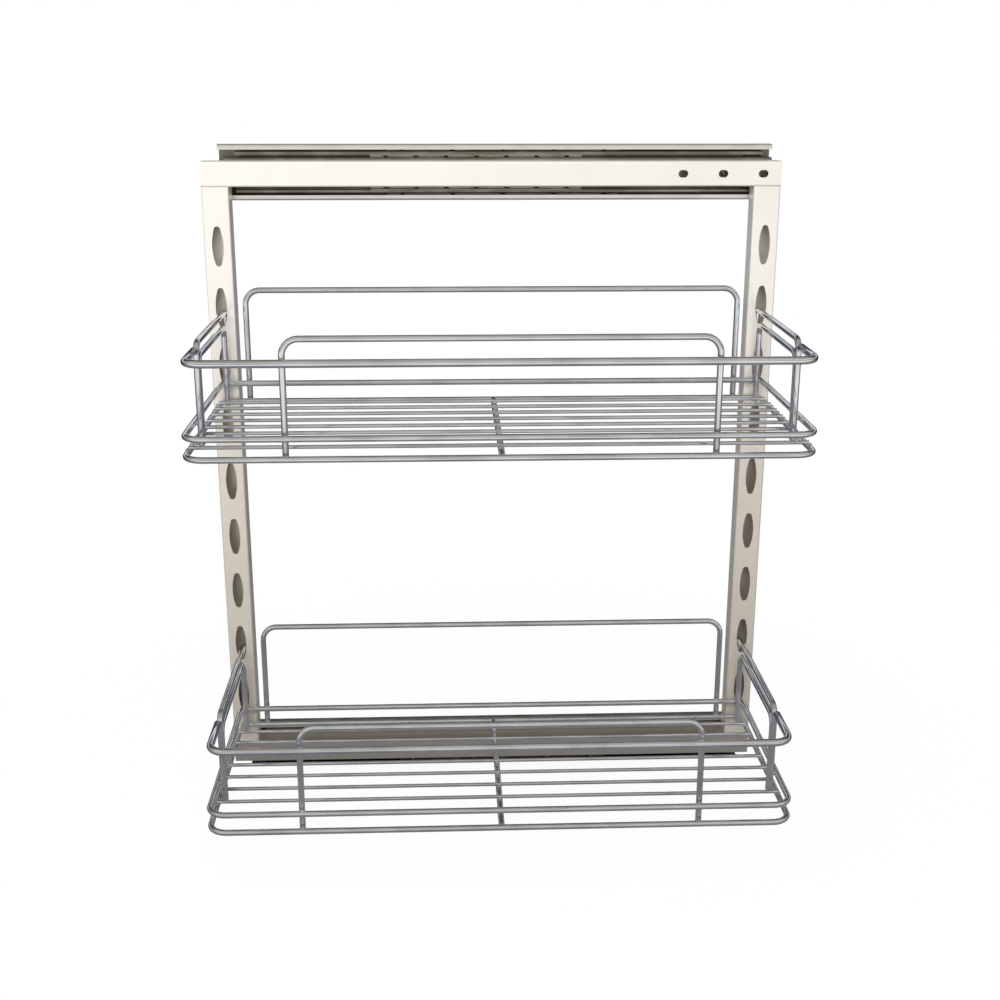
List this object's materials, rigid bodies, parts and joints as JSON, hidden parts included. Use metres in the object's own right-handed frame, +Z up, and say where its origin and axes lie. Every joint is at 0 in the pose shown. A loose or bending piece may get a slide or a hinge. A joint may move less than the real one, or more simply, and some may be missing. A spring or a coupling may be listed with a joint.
{
  "type": "pull out pantry frame",
  "caption": "Side mounted pull-out pantry frame: rectangular tube frame with slotted uprights on ball bearing slides, carrying hook-on wire baskets.",
  "frame": {"origin": "middle of the top cabinet rail's row of screw holes, on the rail's back face, which lies on the cabinet's side wall", "axes": "+X the way the frame pulls out, +Z up, +Y into the cabinet's side wall"},
  "size_m": [0.4723, 0.2268, 0.565],
  "materials": {
    "satin_frame": "satin champagne nickel coat",
    "plated_steel": "bright zinc plate",
    "cage_steel": "plain rolled strip",
    "ball_steel": "polished bearing steel",
    "chromed_wire": "bright chrome plate",
    "black_plastic": "moulded",
    "grey_plastic": "moulded"
  },
  "bodies": {
    "cabinet_rails": {"top_cabinet_rail": "plated_steel", "bottom_cabinet_rail": "plated_steel", "top_rear_bumper": "black_plastic", "bottom_rear_bumper": "black_plastic"},
    "outer_cages": {"top_outer_cage": "cage_steel", "bottom_outer_cage": "cage_steel", "outer_balls": "ball_steel"},
    "middle_rails": {"top_middle_rail": "plated_steel", "bottom_middle_rail": "plated_steel", "top_front_stops": "black_plastic", "bottom_front_stops": "black_plastic"},
    "inner_cages": {"top_inner_cage": "cage_steel", "bottom_inner_cage": "cage_steel", "inner_balls": "ball_steel"},
    "pull_out_frame": {"top_bar": "satin_frame", "bottom_bar": "satin_frame", "back_upright": "satin_frame", "door_upright": "satin_frame", "bar_end_plugs": "grey_plastic", "top_inner_rail": "plated_steel", "bottom_inner_rail": "plated_steel", "top_rail_screws": "plated_steel", "bottom_rail_screws": "plated_steel"},
    "upper_basket": {"upper_floor_ring": "chromed_wire", "upper_rim_ring": "chromed_wire", "upper_floor_wires": "chromed_wire", "upper_cross_wire": "chromed_wire", "upper_outer_rail": "chromed_wire", "upper_outer_guard": "chromed_wire", "upper_frame_guard": "chromed_wire", "upper_back_hook_wire": "chromed_wire", "upper_door_hook_wire": "chromed_wire", "upper_back_brace_wire": "chromed_wire", "upper_door_brace_wire": "chromed_wire"},
    "lower_basket": {"lower_floor_ring": "chromed_wire", "lower_rim_ring": "chromed_wire", "lower_floor_wires": "chromed_wire", "lower_cross_wire": "chromed_wire", "lower_outer_rail": "chromed_wire", "lower_outer_guard": "chromed_wire", "lower_frame_guard": "chromed_wire", "lower_back_hook_wire": "chromed_wire", "lower_door_hook_wire": "chromed_wire", "lower_back_brace_wire": "chromed_wire", "lower_door_brace_wire": "chromed_wire"}
  },
  "joints": [
    {"name": "frame_slide", "type": "slide", "parent": "cabinet_rails", "child": "pull_out_frame", "axis": [1, 0, 0], "range_m": [0, 0.44]},
    {"name": "middle_slide", "type": "slide", "parent": "cabinet_rails", "child": "middle_rails", "axis": [1, 0, 0], "range_m": [0, 0.22]},
    {"name": "outer_cage_slide", "type": "slide", "parent": "cabinet_rails", "child": "outer_cages", "axis": [1, 0, 0], "range_m": [0, 0.11]},
    {"name": "inner_cage_slide", "type": "slide", "parent": "cabinet_rails", "child": "inner_cages", "axis": [1, 0, 0], "range_m": [0, 0.33]},
    {"name": "upper_basket_lift", "type": "slide", "parent": "pull_out_frame", "child": "upper_basket", "axis": [0, 0, 1], "range_m": [0, 0.0075]},
    {"name": "lower_basket_lift", "type": "slide", "parent": "pull_out_frame", "child": "lower_basket", "axis": [0, 0, 1], "range_m": [0, 0.0075]}
  ],
  "couplings": [
    {"joint": "middle_slide", "follows": "frame_slide", "ratio": 0.5},
    {"joint": "outer_cage_slide", "follows": "frame_slide", "ratio": 0.25},
    {"joint": "inner_cage_slide", "follows": "frame_slide", "ratio": 0.75}
  ]
}
